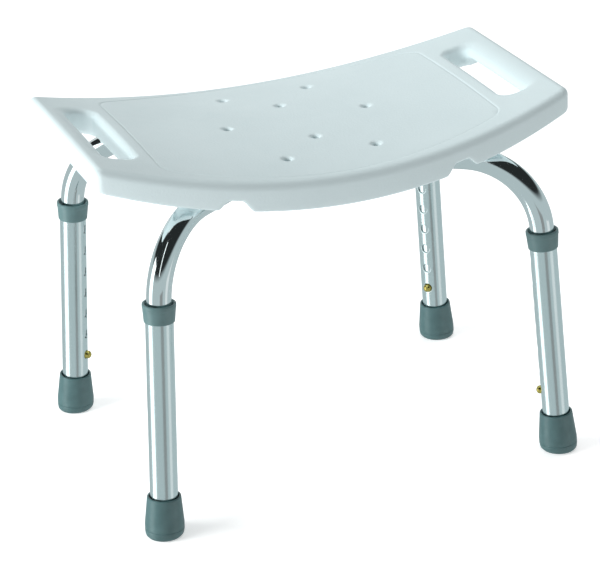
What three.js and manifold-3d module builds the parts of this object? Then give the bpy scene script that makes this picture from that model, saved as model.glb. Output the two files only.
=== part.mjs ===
// Adjustable shower stool: a concave blow-moulded seat on two bent tubes that cross under it.
// Each tube ends in two splayed legs, and on each of those slides an outer leg tube with a
// rubber foot, locked by a sprung button in one of seven holes.
// Millimetres, +Z up, +X along the seat. The origin is on the floor under the seat's middle.
import * as THREE from 'three';
import { mergeVertices } from 'three/addons/utils/BufferGeometryUtils.js';
import Module from 'manifold-3d';

const wasm = await Module();
wasm.setup();

// Seat
const SEAT_LENGTH = 514;
const SEAT_END_WIDTH = 246;
const SEAT_BULGE = 36; // how much further out each long edge is at the middle than at the ends
const SEAT_EDGE_HEIGHT = 351.5; // top of the long edges at mid-length, over the floor
const SEAT_END_RISE = 40; // how much higher the ends are than the middle
const SEAT_CROWN = 8; // how much higher the centreline is than the long edges
const SEAT_CORNER_RADIUS = 12;
const SEAT_EDGE_RADIUS = 9;
const SKIRT_DEPTH = 31; // at mid-length
const SKIRT_TAPER = 5; // how much shallower the skirt is at the ends
const SKIRT_WIDTH = 9;
const SKIRT_EDGE_RADIUS = 3;
const PLATE_THICKNESS = 19;
const SKIN = 3;
const HOLLOW_HALF_LENGTH = 190; // the hollow plate, up to the solid ends with the slots
const HOLLOW_CORNER_RADIUS = 13;

// Grip slots
const SLOT_INNER_X = 201;
const SLOT_OUTER_X = 231;
const SLOT_HALF_LENGTH = 80;
const SLOT_CORNER_RADIUS = 13;
const SLOT_TOP_FLARE = 7;
const SLOT_BOTTOM_FLARE = 4;
const BAR_RELIEF_X = 247; // the bars beyond the slots are as thin as the plate up to here
const BAR_RELIEF_HALF_LENGTH = 74;

// Drain holes: one row across each side of the middle, and four on the seat's own axes
const DRAIN_RADIUS = 3.2;
const DRAIN_DISH_RADIUS = 8.2;
const DRAIN_DISH_DEPTH = 2.5;
const DRAIN_BOSS_RADIUS = 11;
const DRAIN_PLACES = [
  [48.5, 99], [-48.5, 99], [48.5, -99], [-48.5, -99],
  [78, 0], [-78, 0], [0, 53], [0, -53],
];

// Arched notches in the skirt
const NOTCH_INNER_X = 104;
const NOTCH_OUTER_X = 141;
const NOTCH_SLANT = 11;
const NOTCH_DEPTH = 11;

// Frame tubes
const FRAME_RADIUS = 12.7;
const FRAME_WALL = 1.6;
const RUN_HEIGHT = 327.2; // centreline of the level part
const BEND_RADIUS = 80;
const FRAME_END = 44; // lower end of the tube, along the leg
const CROSSING_GAP = 0.4;
const DIP_INNER = 16; // the lower tube's dip under the upper one
const DIP_OUTER = 88;

// Legs
const FOOT_X = 223;
const FOOT_Y = 162.3;
const SPLAY = THREE.MathUtils.degToRad(3.865);
const LEG_RADIUS = 14.3;
const LEG_WALL = 1.2;
const LEG_BOTTOM = 12.7;
const LEG_TOP = 247;
const HOLE_PITCH = 25.4;
const HOLE_COUNT = 7;
const HOLE_RADIUS = 4.8;
const BUTTON_PLACE = 68; // along the leg from the floor

// Leg fittings
const COLLAR_BOTTOM = 232.5;
const COLLAR_TOP = 252;
const COLLAR_RADIUS = 17.2;
const FOOT_TOP = 43;
const FOOT_RADIUS = 20.3;
const FOOT_MOUTH_RADIUS = 17.4;
const FOOT_FLOOR = 10;
const DISC_RADIUS = 13.8;
const DISC_THICKNESS = 2;
const BUTTON_RADIUS = 4.4;
const BUTTON_FLANGE_RADIUS = 5.5;
const BUTTON_FLANGE_BACK = 8;
const BUTTON_FLANGE_FRONT = 9.2;
const BUTTON_TIP = 19.3;
const SPRING_WIDTH = 7;
const SPRING_THICKNESS = 0.6;

// Fasteners
const SCREW_PLACE = 110; // along each tube from the middle
const SCREW_RADIUS = 2.5;
const SCREW_HEAD_RADIUS = 5;
const SCREW_HEAD_HEIGHT = 3.2;
const SCREW_DEPTH_IN_SEAT = 12;
const BOLT_RADIUS = 3;
const BOLT_HEAD_RADIUS = 6;
const BOLT_HEAD_HEIGHT = 2.6;
const NUT_RADIUS = 5.8;
const NUT_HEIGHT = 5;
const WASHER_THICKNESS = 1.2;
const HOLE_PLAY = 0.4;
const GAP = 0.3; // between pieces that touch

const BOSS_LENGTH = 44;
const BOSS_WIDTH = 36;
const BOSS_BOTTOM = RUN_HEIGHT + 4;
const BOSS_TOP = 358;

const ROUND = 20; // sides of a turned piece
const SMALL_ROUND = 12; // sides of a fastener or a small hole
const DIAGONAL = Math.atan2(FOOT_Y, FOOT_X);
const FOOT_REACH = Math.hypot(FOOT_X, FOOT_Y);

// ---------- solids ----------

function signedVolume(geometry) {
  const p = geometry.getAttribute('position');
  const index = geometry.index.array;
  const [a, b, c] = [new THREE.Vector3(), new THREE.Vector3(), new THREE.Vector3()];
  let sum = 0;
  for (let i = 0; i < index.length; i += 3) {
    a.fromBufferAttribute(p, index[i]);
    b.fromBufferAttribute(p, index[i + 1]);
    c.fromBufferAttribute(p, index[i + 2]);
    sum += a.dot(b.cross(c)) / 6;
  }
  return sum;
}

// A closed geometry with shared vertices and its faces pointing out.
function welded(geometry) {
  const bare = new THREE.BufferGeometry();
  bare.setAttribute('position', geometry.getAttribute('position'));
  if (geometry.index) bare.setIndex(geometry.index);
  const merged = mergeVertices(bare, 1e-4);
  const kept = [];
  const index = merged.index.array;
  for (let i = 0; i < index.length; i += 3) {
    const [a, b, c] = [index[i], index[i + 1], index[i + 2]];
    if (a !== b && b !== c && c !== a) kept.push(a, b, c);
  }
  merged.setIndex(kept);
  if (signedVolume(merged) < 0) merged.setIndex(kept.reverse());
  return merged;
}

function solid(geometry) {
  const closed = welded(geometry);
  return new wasm.Manifold(new wasm.Mesh({
    numProp: 3,
    vertProperties: new Float32Array(closed.getAttribute('position').array),
    triVerts: new Uint32Array(closed.index.array),
  }));
}

function geometryOf(manifold) {
  const mesh = manifold.getMesh();
  const geometry = new THREE.BufferGeometry();
  geometry.setAttribute('position', new THREE.BufferAttribute(mesh.vertProperties, 3));
  geometry.setIndex(new THREE.BufferAttribute(mesh.triVerts, 1));
  return geometry;
}

function cutBy(body, cutters) {
  return cutters.reduce((left, cutter) => left.subtract(cutter), body);
}

function joinedTo(body, additions) {
  return additions.reduce((whole, addition) => whole.add(addition), body);
}

// A piece turned about Z from a list of [radius, height] points that closes on itself.
function turned(points, sides = ROUND) {
  const profile = points.map(([r, z]) => new THREE.Vector2(r, z));
  const geometry = new THREE.LatheGeometry(profile, sides);
  return geometry.rotateX(Math.PI / 2);
}

function ring(inner, outer, bottom, top, sides = ROUND) {
  return turned([[inner, bottom], [outer, bottom], [outer, top], [inner, top], [inner, bottom]], sides);
}

// An upright round bar between two heights.
function bar(radius, bottom, top, x = 0, y = 0, sides = ROUND) {
  const geometry = new THREE.CylinderGeometry(radius, radius, top - bottom, sides);
  return geometry.rotateX(Math.PI / 2).translate(x, y, (top + bottom) / 2);
}

// ---------- seat ----------

function sideWidth(x) {
  const end = (2 * x) / SEAT_LENGTH;
  return SEAT_END_WIDTH / 2 + SEAT_BULGE * (1 - end * end);
}

function topHeight(x, y) {
  const end = (2 * x) / SEAT_LENGTH;
  const side = y / sideWidth(x);
  const crown = SEAT_CROWN * (1 - end * end) * (1 - side * side);
  return SEAT_EDGE_HEIGHT + SEAT_END_RISE * end * end + crown;
}

function skirtDepth(x) {
  const end = (2 * x) / SEAT_LENGTH;
  return SKIRT_DEPTH - SKIRT_TAPER * end * end;
}

// Moves every point up by the height of the seat's top over it.
function bentToSeat(geometry) {
  const p = geometry.getAttribute('position');
  for (let i = 0; i < p.count; i += 1) {
    p.setZ(i, p.getZ(i) + topHeight(p.getX(i), p.getY(i)));
  }
  return geometry;
}

// One long side of an outline like the seat's: points with their outward directions, from
// one end to the other, with the corner arcs.
function longSide(halfLength, inset, cornerRadius, spans, cornerSpans) {
  const edge = (x) => sideWidth(x) - inset;
  const cornerX = halfLength - cornerRadius;
  const slope = (edge(cornerX + 1) - edge(cornerX - 1)) / 2;
  const cornerY = edge(cornerX) - cornerRadius * Math.hypot(1, slope);
  const turn = Math.atan2(1, -slope);
  const corner = [];
  for (let i = 0; i <= cornerSpans; i += 1) {
    const angle = (turn * i) / cornerSpans;
    const normal = [Math.cos(angle), Math.sin(angle)];
    corner.push({ at: [cornerX + cornerRadius * normal[0], cornerY + cornerRadius * normal[1]], normal });
  }
  const lastX = corner[cornerSpans].at[0];
  const middle = [];
  for (let i = 1; i < spans; i += 1) {
    const x = lastX * (1 - (2 * i) / spans);
    const tilt = -(edge(x + 1) - edge(x - 1)) / 2;
    const length = Math.hypot(1, tilt);
    middle.push({ at: [x, edge(x)], normal: [tilt / length, 1 / length] });
  }
  const mirrored = corner.map(({ at, normal }) => ({ at: [-at[0], at[1]], normal: [-normal[0], normal[1]] }));
  return [...corner, ...middle, ...mirrored.reverse()];
}

// A slab with the seat's outline and curve. The profile's steps run from its top face down to
// its bottom face: each has an inset and a height, counted from the seat's top surface or,
// with onSkirt, from the skirt's lower edge.
function seatSlab({ halfLength, inset, cornerRadius, profile, spans = 18, across = 6, cornerSpans = 3 }) {
  const side = longSide(halfLength, inset, cornerRadius, spans, cornerSpans);
  const positions = [];
  const index = [];
  const put = (x, y, z) => positions.push(x, y, z) / 3 - 1;
  const columns = side.length - 1;
  const step = (i, j, { inset: d, height, onSkirt }) => {
    const { at, normal } = side[i];
    const share = 1 - (2 * j) / across;
    const x = at[0] - d * normal[0];
    const base = onSkirt ? -skirtDepth(x) : 0;
    return put(x, (at[1] - d * normal[1]) * share, base + height);
  };
  const face = (level) => {
    const grid = side.map((_, i) => Array.from({ length: across + 1 }, (__, j) => step(i, j, level)));
    for (let i = 0; i < columns; i += 1) {
      for (let j = 0; j < across; j += 1) {
        const [a, b, c, d] = [grid[i][j], grid[i + 1][j], grid[i + 1][j + 1], grid[i][j + 1]];
        if (level === profile[0]) index.push(a, b, c, a, c, d);
        else index.push(a, c, b, a, d, c);
      }
    }
  };
  const rim = [];
  for (let i = 0; i < columns; i += 1) rim.push([i, 0]);
  for (let j = 0; j < across; j += 1) rim.push([columns, j]);
  for (let i = columns; i > 0; i -= 1) rim.push([i, across]);
  for (let j = across; j > 0; j -= 1) rim.push([0, j]);
  face(profile[0]);
  face(profile[profile.length - 1]);
  for (let k = 0; k + 1 < profile.length; k += 1) {
    const upper = rim.map(([i, j]) => step(i, j, profile[k]));
    const lower = rim.map(([i, j]) => step(i, j, profile[k + 1]));
    rim.forEach((_, n) => {
      const next = (n + 1) % rim.length;
      index.push(upper[n], lower[n], lower[next], upper[n], lower[next], upper[next]);
    });
  }
  const geometry = new THREE.BufferGeometry();
  geometry.setAttribute('position', new THREE.Float32BufferAttribute(positions, 3));
  geometry.setIndex(index);
  return solid(bentToSeat(geometry));
}

function seatBlank() {
  const profile = [];
  for (let i = 0; i <= 3; i += 1) {
    const angle = (Math.PI / 2) * (i / 3);
    profile.push({
      inset: SEAT_EDGE_RADIUS * (1 - Math.sin(angle)),
      height: -SEAT_EDGE_RADIUS * (1 - Math.cos(angle)),
    });
  }
  profile.push({ inset: 0, height: SKIRT_EDGE_RADIUS, onSkirt: true });
  profile.push({ inset: SKIRT_EDGE_RADIUS, height: 0, onSkirt: true });
  return seatSlab({ halfLength: SEAT_LENGTH / 2, inset: 0, cornerRadius: SEAT_CORNER_RADIUS, profile });
}

function undersideRecess() {
  return seatSlab({
    halfLength: HOLLOW_HALF_LENGTH,
    inset: SKIRT_WIDTH,
    cornerRadius: HOLLOW_CORNER_RADIUS,
    profile: [{ inset: 0, height: -PLATE_THICKNESS }, { inset: 0, height: -2 * SKIRT_DEPTH }],
    spans: 14,
    across: 4,
    cornerSpans: 2,
  });
}

function moldedCavity() {
  return seatSlab({
    halfLength: HOLLOW_HALF_LENGTH,
    inset: SEAT_EDGE_RADIUS,
    cornerRadius: HOLLOW_CORNER_RADIUS,
    profile: [{ inset: 0, height: -SKIN }, { inset: 0, height: SKIN - PLATE_THICKNESS }],
    spans: 10,
    across: 4,
    cornerSpans: 1,
  });
}

function slotLoop(growth) {
  const radius = SLOT_CORNER_RADIUS + growth;
  const [near, far] = [SLOT_INNER_X - growth + radius, SLOT_OUTER_X + growth - radius];
  const reach = SLOT_HALF_LENGTH + growth - radius;
  const centres = [[far, reach], [near, reach], [near, -reach], [far, -reach]];
  const points = [];
  centres.forEach(([x, y], quarter) => {
    for (let i = 0; i <= 3; i += 1) {
      const angle = (Math.PI / 2) * (quarter + i / 3);
      points.push(new THREE.Vector2(x + radius * Math.cos(angle), y + radius * Math.sin(angle)));
    }
  });
  return points;
}

// The slot's cutter, wider at its mouth and at its foot, on the +X end.
function slotCutter() {
  const profile = [{ growth: SLOT_TOP_FLARE, height: SKIRT_DEPTH }];
  for (let i = 0; i <= 3; i += 1) {
    const angle = (Math.PI / 2) * (i / 3);
    profile.push({
      growth: SLOT_TOP_FLARE * (1 - Math.sin(angle)),
      height: -SLOT_TOP_FLARE * (1 - Math.cos(angle)),
    });
  }
  const foot = -skirtDepth((SLOT_INNER_X + SLOT_OUTER_X) / 2);
  profile.push({ growth: 0, height: foot + SLOT_BOTTOM_FLARE });
  profile.push({ growth: SLOT_BOTTOM_FLARE, height: foot });
  profile.push({ growth: SLOT_BOTTOM_FLARE, height: -2 * SKIRT_DEPTH });
  const loops = profile.map(({ growth }) => slotLoop(growth));
  const count = loops[0].length;
  const positions = [];
  loops.forEach((loop, k) => loop.forEach((q) => positions.push(q.x, q.y, profile[k].height)));
  const index = [];
  for (let k = 0; k + 1 < loops.length; k += 1) {
    for (let n = 0; n < count; n += 1) {
      const [a, b] = [k * count + n, k * count + ((n + 1) % count)];
      index.push(a, a + count, b + count, a, b + count, b);
    }
  }
  const last = (loops.length - 1) * count;
  THREE.ShapeUtils.triangulateShape(loops[0], []).forEach(([a, b, c]) => {
    index.push(a, b, c);
    index.push(last + a, last + c, last + b);
  });
  const geometry = new THREE.BufferGeometry();
  geometry.setAttribute('position', new THREE.Float32BufferAttribute(positions, 3));
  geometry.setIndex(index);
  return bentToSeat(geometry);
}

// The cutter under the bar beyond the +X slot, which leaves the skirt standing outside it.
function barRelief() {
  const length = BAR_RELIEF_X - SLOT_OUTER_X + SLOT_CORNER_RADIUS;
  const relief = new THREE.BoxGeometry(length, 2 * BAR_RELIEF_HALF_LENGTH, SKIRT_DEPTH, 3, 6, 1);
  return bentToSeat(relief.translate(BAR_RELIEF_X - length / 2, 0, -PLATE_THICKNESS - SKIRT_DEPTH / 2));
}

function drainCutter([x, y]) {
  const top = topHeight(x, y);
  const cutter = turned([
    [0, top - 2 * SKIRT_DEPTH],
    [DRAIN_RADIUS, top - 2 * SKIRT_DEPTH],
    [DRAIN_RADIUS, top - DRAIN_DISH_DEPTH],
    [DRAIN_DISH_RADIUS, top],
    [DRAIN_DISH_RADIUS, top + SKIRT_EDGE_RADIUS],
    [0, top + SKIRT_EDGE_RADIUS],
  ], 10);
  return solid(cutter.translate(x, y, 0));
}

function drainBoss([x, y]) {
  const top = topHeight(x, y);
  return solid(bar(DRAIN_BOSS_RADIUS, top - PLATE_THICKNESS + 1, top - 1, x, y, 10));
}

// The notch's cutter through one long side of the skirt: a slant towards the middle of the
// seat, and an easy curve on the other side.
function notchCutter() {
  const arch = NOTCH_OUTER_X - NOTCH_INNER_X - NOTCH_SLANT;
  const shape = new THREE.Shape();
  shape.moveTo(NOTCH_INNER_X - 2, -SKIRT_EDGE_RADIUS);
  shape.lineTo(NOTCH_INNER_X, 0);
  shape.lineTo(NOTCH_INNER_X + NOTCH_SLANT, NOTCH_DEPTH);
  shape.lineTo(NOTCH_INNER_X + NOTCH_SLANT + arch / 2, NOTCH_DEPTH);
  for (let i = 1; i <= 4; i += 1) {
    const share = i / 4;
    const ease = (1 - Math.cos(Math.PI * share)) / 2;
    shape.lineTo(NOTCH_OUTER_X - (arch / 2) * (1 - share), NOTCH_DEPTH * (1 - ease));
  }
  shape.lineTo(NOTCH_OUTER_X, -SKIRT_EDGE_RADIUS);
  const inner = sideWidth(NOTCH_OUTER_X) - SKIRT_WIDTH - 3;
  const outer = sideWidth(NOTCH_INNER_X) + 3;
  const geometry = new THREE.ExtrudeGeometry(shape, { depth: outer - inner, bevelEnabled: false });
  geometry.rotateX(Math.PI / 2).translate(0, outer, 0);
  const p = geometry.getAttribute('position');
  for (let i = 0; i < p.count; i += 1) {
    const x = p.getX(i);
    p.setZ(i, p.getZ(i) + topHeight(x, sideWidth(x)) - skirtDepth(x));
  }
  return geometry;
}

function onFourCorners(make) {
  return [[1, 1], [-1, 1], [1, -1], [-1, -1]].map(([sx, sy]) => solid(make().scale(sx, sy, 1)));
}

function screwPlaces() {
  return [1, -1].flatMap((sx) => [1, -1].map((sy) => (
    [sx * SCREW_PLACE * Math.cos(DIAGONAL), sy * SCREW_PLACE * Math.sin(DIAGONAL), sx * sy]
  )));
}

// A block that joins both skins and straddles the frame tube under it.
function tubeSaddle([x, y, turn]) {
  const block = new THREE.BoxGeometry(BOSS_LENGTH, BOSS_WIDTH, BOSS_TOP - BOSS_BOTTOM);
  block.rotateZ(turn * DIAGONAL).translate(x, y, (BOSS_TOP + BOSS_BOTTOM) / 2);
  return solid(block);
}

function saddleChannel([x, y, turn]) {
  const channel = new THREE.CylinderGeometry(
    FRAME_RADIUS + HOLE_PLAY, FRAME_RADIUS + HOLE_PLAY, BOSS_LENGTH + 10, ROUND);
  channel.rotateZ(Math.PI / 2).rotateZ(turn * DIAGONAL).translate(x, y, RUN_HEIGHT);
  return solid(channel);
}

function makeSeat() {
  const screwTop = RUN_HEIGHT + FRAME_RADIUS + SCREW_DEPTH_IN_SEAT + 1;
  const boltTop = RUN_HEIGHT + FRAME_RADIUS + BOLT_HEAD_HEIGHT + 2;
  const places = screwPlaces();
  let seat = cutBy(seatBlank(), [undersideRecess(), moldedCavity()]);
  seat = joinedTo(seat, [...DRAIN_PLACES.map(drainBoss), ...places.map(tubeSaddle)]);
  const slots = [1, -1].flatMap((side) => (
    [slotCutter(), barRelief()].map((cutter) => solid(cutter.scale(side, 1, 1)))
  ));
  const screwHoles = places.map(([x, y]) => (
    solid(bar(SCREW_RADIUS + HOLE_PLAY, RUN_HEIGHT, screwTop, x, y, 8))
  ));
  const boltPocket = solid(bar(BOLT_HEAD_RADIUS + 1, RUN_HEIGHT, boltTop, 0, 0, SMALL_ROUND));
  const vent = solid(bar(SKIN, RUN_HEIGHT, SEAT_EDGE_HEIGHT, 0, SLOT_HALF_LENGTH, 8));
  seat = cutBy(seat, [...slots, ...DRAIN_PLACES.map(drainCutter), ...onFourCorners(notchCutter)]);
  return geometryOf(cutBy(seat, [...places.map(saddleChannel), ...screwHoles, boltPocket, vent]));
}

// ---------- frame tubes ----------

// A route given by its own stations, so that straight stretches take one step.
class StationRoute extends THREE.Curve {
  constructor(stations) {
    super();
    this.stations = stations;
  }

  at(u) {
    return this.stations[Math.round(u * (this.stations.length - 1))];
  }

  getPointAt(u) {
    return this.at(u).point.clone();
  }

  getTangentAt(u) {
    return this.at(u).tangent.clone();
  }
}

// Stations of one half of a frame tube, from the middle to the leg's lower end, in the
// tube's own upright plane: reach along X, height along Z.
function halfRoute(dips) {
  const stations = [];
  const add = (reach, height, angle) => stations.push({
    point: new THREE.Vector3(reach, 0, height),
    tangent: new THREE.Vector3(Math.cos(angle), 0, Math.sin(angle)),
  });
  if (dips) {
    const drop = 2 * FRAME_RADIUS + CROSSING_GAP;
    const span = DIP_OUTER - DIP_INNER;
    const radius = (span * span + drop * drop) / (4 * drop);
    const most = 2 * Math.atan(drop / span);
    const steps = 3;
    for (let i = 0; i <= steps; i += 1) {
      const angle = (most * i) / steps;
      add(DIP_INNER + radius * Math.sin(angle), RUN_HEIGHT - drop + radius * (1 - Math.cos(angle)), angle);
    }
    for (let i = steps - 1; i >= 0; i -= 1) {
      const angle = (most * i) / steps;
      add(DIP_OUTER - radius * Math.sin(angle), RUN_HEIGHT - radius * (1 - Math.cos(angle)), angle);
    }
  }
  const turn = Math.PI / 2 - SPLAY;
  const legReach = (height) => FOOT_REACH - Math.tan(SPLAY) * height;
  const bendStart = legReach(RUN_HEIGHT) - BEND_RADIUS * Math.tan(turn / 2);
  const steps = 8;
  for (let i = 0; i <= steps; i += 1) {
    const angle = (turn * i) / steps;
    add(bendStart + BEND_RADIUS * Math.sin(angle), RUN_HEIGHT - BEND_RADIUS * (1 - Math.cos(angle)), -angle);
  }
  const end = FRAME_END * Math.cos(SPLAY);
  add(legReach(end), end, -turn);
  return stations;
}

function wholeRoute(dips) {
  const half = halfRoute(dips);
  const mirrored = half.map(({ point, tangent }) => ({
    point: new THREE.Vector3(-point.x, 0, point.z),
    tangent: new THREE.Vector3(tangent.x, 0, -tangent.z),
  }));
  return new StationRoute([...mirrored.reverse(), ...half]);
}

// The leg's own frame: origin on the floor under the leg's axis, Z up the leg, X towards
// the middle of the stool.
function legMatrix(sx, sy) {
  const inwards = Math.atan2(-sy * FOOT_Y, -sx * FOOT_X);
  const turn = new THREE.Euler(0, SPLAY, inwards, 'ZYX');
  return new THREE.Matrix4().makeRotationFromEuler(turn).setPosition(sx * FOOT_X, sy * FOOT_Y, 0);
}

function sideHole(place, radius, sides) {
  const length = LEG_RADIUS + 4;
  const hole = new THREE.CylinderGeometry(radius, radius, length, sides);
  return hole.rotateZ(Math.PI / 2).translate(length / 2, 0, place);
}

function tubeSection() {
  const shape = new THREE.Shape();
  shape.absarc(0, 0, FRAME_RADIUS, 0, 2 * Math.PI);
  const bore = new THREE.Path();
  bore.absarc(0, 0, FRAME_RADIUS - FRAME_WALL, 0, 2 * Math.PI);
  shape.holes.push(bore);
  return shape;
}

function makeFrameTube(sy, dips) {
  const route = wholeRoute(dips);
  const tube = new THREE.ExtrudeGeometry(tubeSection(), {
    steps: route.stations.length - 1,
    curveSegments: 8,
    extrudePath: route,
  });
  tube.rotateZ(sy * DIAGONAL);
  const low = RUN_HEIGHT - 60;
  const high = RUN_HEIGHT + 40;
  const cutters = [solid(bar(BOLT_RADIUS + HOLE_PLAY, low, high, 0, 0, 10))];
  screwPlaces().filter(([, , turn]) => turn === sy).forEach(([x, y]) => {
    cutters.push(solid(bar(SCREW_RADIUS + HOLE_PLAY, low, high, x, y, 10)));
  });
  [1, -1].forEach((sx) => {
    cutters.push(solid(sideHole(BUTTON_PLACE, HOLE_RADIUS, 10).applyMatrix4(legMatrix(sx, sx * sy))));
  });
  return geometryOf(cutBy(solid(tube), cutters));
}

// ---------- fasteners ----------

function makeWasher(bore, outer, top) {
  return ring(bore, outer, top - WASHER_THICKNESS, top, SMALL_ROUND);
}

function makeSeatScrew() {
  const under = RUN_HEIGHT - FRAME_RADIUS - 2 * GAP - WASHER_THICKNESS;
  const tip = RUN_HEIGHT + FRAME_RADIUS + SCREW_DEPTH_IN_SEAT;
  return turned([
    [0, under - SCREW_HEAD_HEIGHT],
    [0.7 * SCREW_HEAD_RADIUS, under - SCREW_HEAD_HEIGHT],
    [SCREW_HEAD_RADIUS, under - 0.4 * SCREW_HEAD_HEIGHT],
    [SCREW_HEAD_RADIUS, under],
    [SCREW_RADIUS, under],
    [SCREW_RADIUS, tip - SCREW_RADIUS],
    [0, tip],
  ], SMALL_ROUND);
}

function crossingBottom() {
  return RUN_HEIGHT - 3 * FRAME_RADIUS - CROSSING_GAP;
}

function makeCrossBolt() {
  const top = RUN_HEIGHT + FRAME_RADIUS + GAP;
  const tip = crossingBottom() - 2 * GAP - WASHER_THICKNESS - NUT_HEIGHT - 2;
  return turned([
    [0, tip],
    [BOLT_RADIUS - 0.6, tip],
    [BOLT_RADIUS, tip + 0.6],
    [BOLT_RADIUS, top],
    [BOLT_HEAD_RADIUS, top],
    [BOLT_HEAD_RADIUS, top + 0.4 * BOLT_HEAD_HEIGHT],
    [0.6 * BOLT_HEAD_RADIUS, top + BOLT_HEAD_HEIGHT - 0.3],
    [0, top + BOLT_HEAD_HEIGHT - 0.3],
  ], SMALL_ROUND);
}

function makeCrossNut() {
  const top = crossingBottom() - 2 * GAP - WASHER_THICKNESS;
  const hexagon = new THREE.CylinderGeometry(NUT_RADIUS, NUT_RADIUS, NUT_HEIGHT, 6);
  hexagon.rotateX(Math.PI / 2).translate(0, 0, top - NUT_HEIGHT / 2);
  const bore = bar(BOLT_RADIUS + GAP, top - 2 * NUT_HEIGHT, top + NUT_HEIGHT, 0, 0, SMALL_ROUND);
  return geometryOf(solid(hexagon).subtract(solid(bore)));
}

// ---------- leg pieces, each in the leg's own frame ----------

function makeLegTube() {
  const tube = solid(ring(LEG_RADIUS - LEG_WALL, LEG_RADIUS, LEG_BOTTOM, LEG_TOP));
  const holes = Array.from({ length: HOLE_COUNT }, (_, n) => (
    solid(sideHole(BUTTON_PLACE + n * HOLE_PITCH, HOLE_RADIUS, 10))
  ));
  return geometryOf(cutBy(tube, holes));
}

function makeCollar() {
  const sleeve = LEG_RADIUS + GAP;
  const ledge = LEG_TOP + GAP;
  return turned([
    [sleeve, COLLAR_BOTTOM],
    [COLLAR_RADIUS - 1.6, COLLAR_BOTTOM],
    [COLLAR_RADIUS - 0.4, COLLAR_BOTTOM + 1.6],
    [COLLAR_RADIUS, COLLAR_BOTTOM + 4],
    [COLLAR_RADIUS, COLLAR_TOP - 1.4],
    [COLLAR_RADIUS - 0.8, COLLAR_TOP],
    [COLLAR_RADIUS - 2, COLLAR_TOP],
    [FRAME_RADIUS + 0.5, ledge + 1.8],
    [FRAME_RADIUS + 0.5, ledge],
    [sleeve, ledge],
    [sleeve, COLLAR_BOTTOM],
  ]);
}

function makeFoot(matrix) {
  const sleeve = LEG_RADIUS + GAP;
  const rubber = turned([
    [0, -3],
    [FOOT_RADIUS - 2.8, -3],
    [FOOT_RADIUS - 0.8, 2],
    [FOOT_RADIUS, 5],
    [FOOT_RADIUS, 13],
    [FOOT_MOUTH_RADIUS + 0.3, FOOT_TOP - 3],
    [FOOT_MOUTH_RADIUS, FOOT_TOP - 1],
    [FOOT_MOUTH_RADIUS - 0.8, FOOT_TOP],
    [sleeve + 0.8, FOOT_TOP],
    [sleeve, FOOT_TOP - 3],
    [sleeve, FOOT_FLOOR],
    [0, FOOT_FLOOR],
  ]);
  const ground = new THREE.BoxGeometry(100, 100, 20);
  ground.translate(0, 0, -10);
  const toLeg = matrix.clone().setPosition(0, 0, 0).invert();
  return geometryOf(solid(rubber).subtract(solid(ground.applyMatrix4(toLeg))));
}

function makeFootDisc() {
  return bar(DISC_RADIUS, FOOT_FLOOR + GAP, FOOT_FLOOR + GAP + DISC_THICKNESS);
}

// The button's axis is the leg frame's X.
function makeButton() {
  const dome = 3;
  const points = [
    [0, BUTTON_FLANGE_BACK],
    [BUTTON_FLANGE_RADIUS, BUTTON_FLANGE_BACK],
    [BUTTON_FLANGE_RADIUS, BUTTON_FLANGE_FRONT],
    [BUTTON_RADIUS, BUTTON_FLANGE_FRONT],
  ];
  for (let i = 0; i < 3; i += 1) {
    const angle = (Math.PI / 2) * (i / 3);
    points.push([BUTTON_RADIUS * Math.cos(angle), BUTTON_TIP - dome * (1 - Math.sin(angle))]);
  }
  points.push([0, BUTTON_TIP]);
  return turned(points, SMALL_ROUND).rotateY(Math.PI / 2).translate(0, 0, BUTTON_PLACE);
}

// A bent strip of spring steel: one arm behind the button, one on the far wall.
function makeButtonSpring() {
  const armX = BUTTON_FLANGE_BACK - GAP;
  const wallX = -(FRAME_RADIUS - FRAME_WALL - 1.1);
  const [middle, radius] = [(armX + wallX) / 2, (armX - wallX) / 2];
  const [foot, crown] = [BUTTON_PLACE - 7, BUTTON_PLACE + 34];
  const shape = new THREE.Shape();
  shape.moveTo(armX, foot);
  shape.absarc(middle, crown, radius, 0, Math.PI, false);
  shape.lineTo(wallX, foot);
  shape.lineTo(wallX + SPRING_THICKNESS, foot);
  shape.absarc(middle, crown, radius - SPRING_THICKNESS, Math.PI, 0, true);
  shape.lineTo(armX - SPRING_THICKNESS, foot);
  const strip = new THREE.ExtrudeGeometry(shape, {
    depth: SPRING_WIDTH,
    bevelEnabled: false,
    curveSegments: 5,
  });
  return strip.rotateX(Math.PI / 2).translate(0, SPRING_WIDTH / 2, 0);
}

// ---------- materials ----------

function material(color, roughness, metalness) {
  return new THREE.MeshStandardMaterial({ color, roughness, metalness });
}

const WHITE_PLASTIC = () => material(0xe6eeee, 0.45, 0);
const BRIGHT_ALUMINIUM = () => material(0xd8dcde, 0.12, 1);
const SATIN_ALUMINIUM = () => material(0xc8ced0, 0.3, 1);
const GREY_PLASTIC = () => material(0x74868a, 0.5, 0);
const GREY_RUBBER = () => material(0x6c7c80, 0.7, 0);
const BRASS = () => material(0xb8923c, 0.3, 1);
const STEEL = () => material(0xb4b8bb, 0.35, 1);

// ---------- assembly ----------

const stool = new THREE.Group();

function place(parent, name, geometry, make) {
  const mesh = new THREE.Mesh(welded(geometry), make());
  mesh.name = name;
  parent.add(mesh);
  return mesh;
}

function addFrame() {
  place(stool, 'seat', makeSeat(), WHITE_PLASTIC);
  place(stool, 'frame_tube_upper', makeFrameTube(1, false), BRIGHT_ALUMINIUM);
  place(stool, 'frame_tube_lower', makeFrameTube(-1, true), BRIGHT_ALUMINIUM);
  place(stool, 'cross_bolt', makeCrossBolt(), STEEL);
  const washer = makeWasher(BOLT_RADIUS + HOLE_PLAY, BOLT_HEAD_RADIUS + 1, crossingBottom() - GAP);
  place(stool, 'cross_washer', washer, STEEL);
  place(stool, 'cross_nut', makeCrossNut(), STEEL);
}

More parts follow.
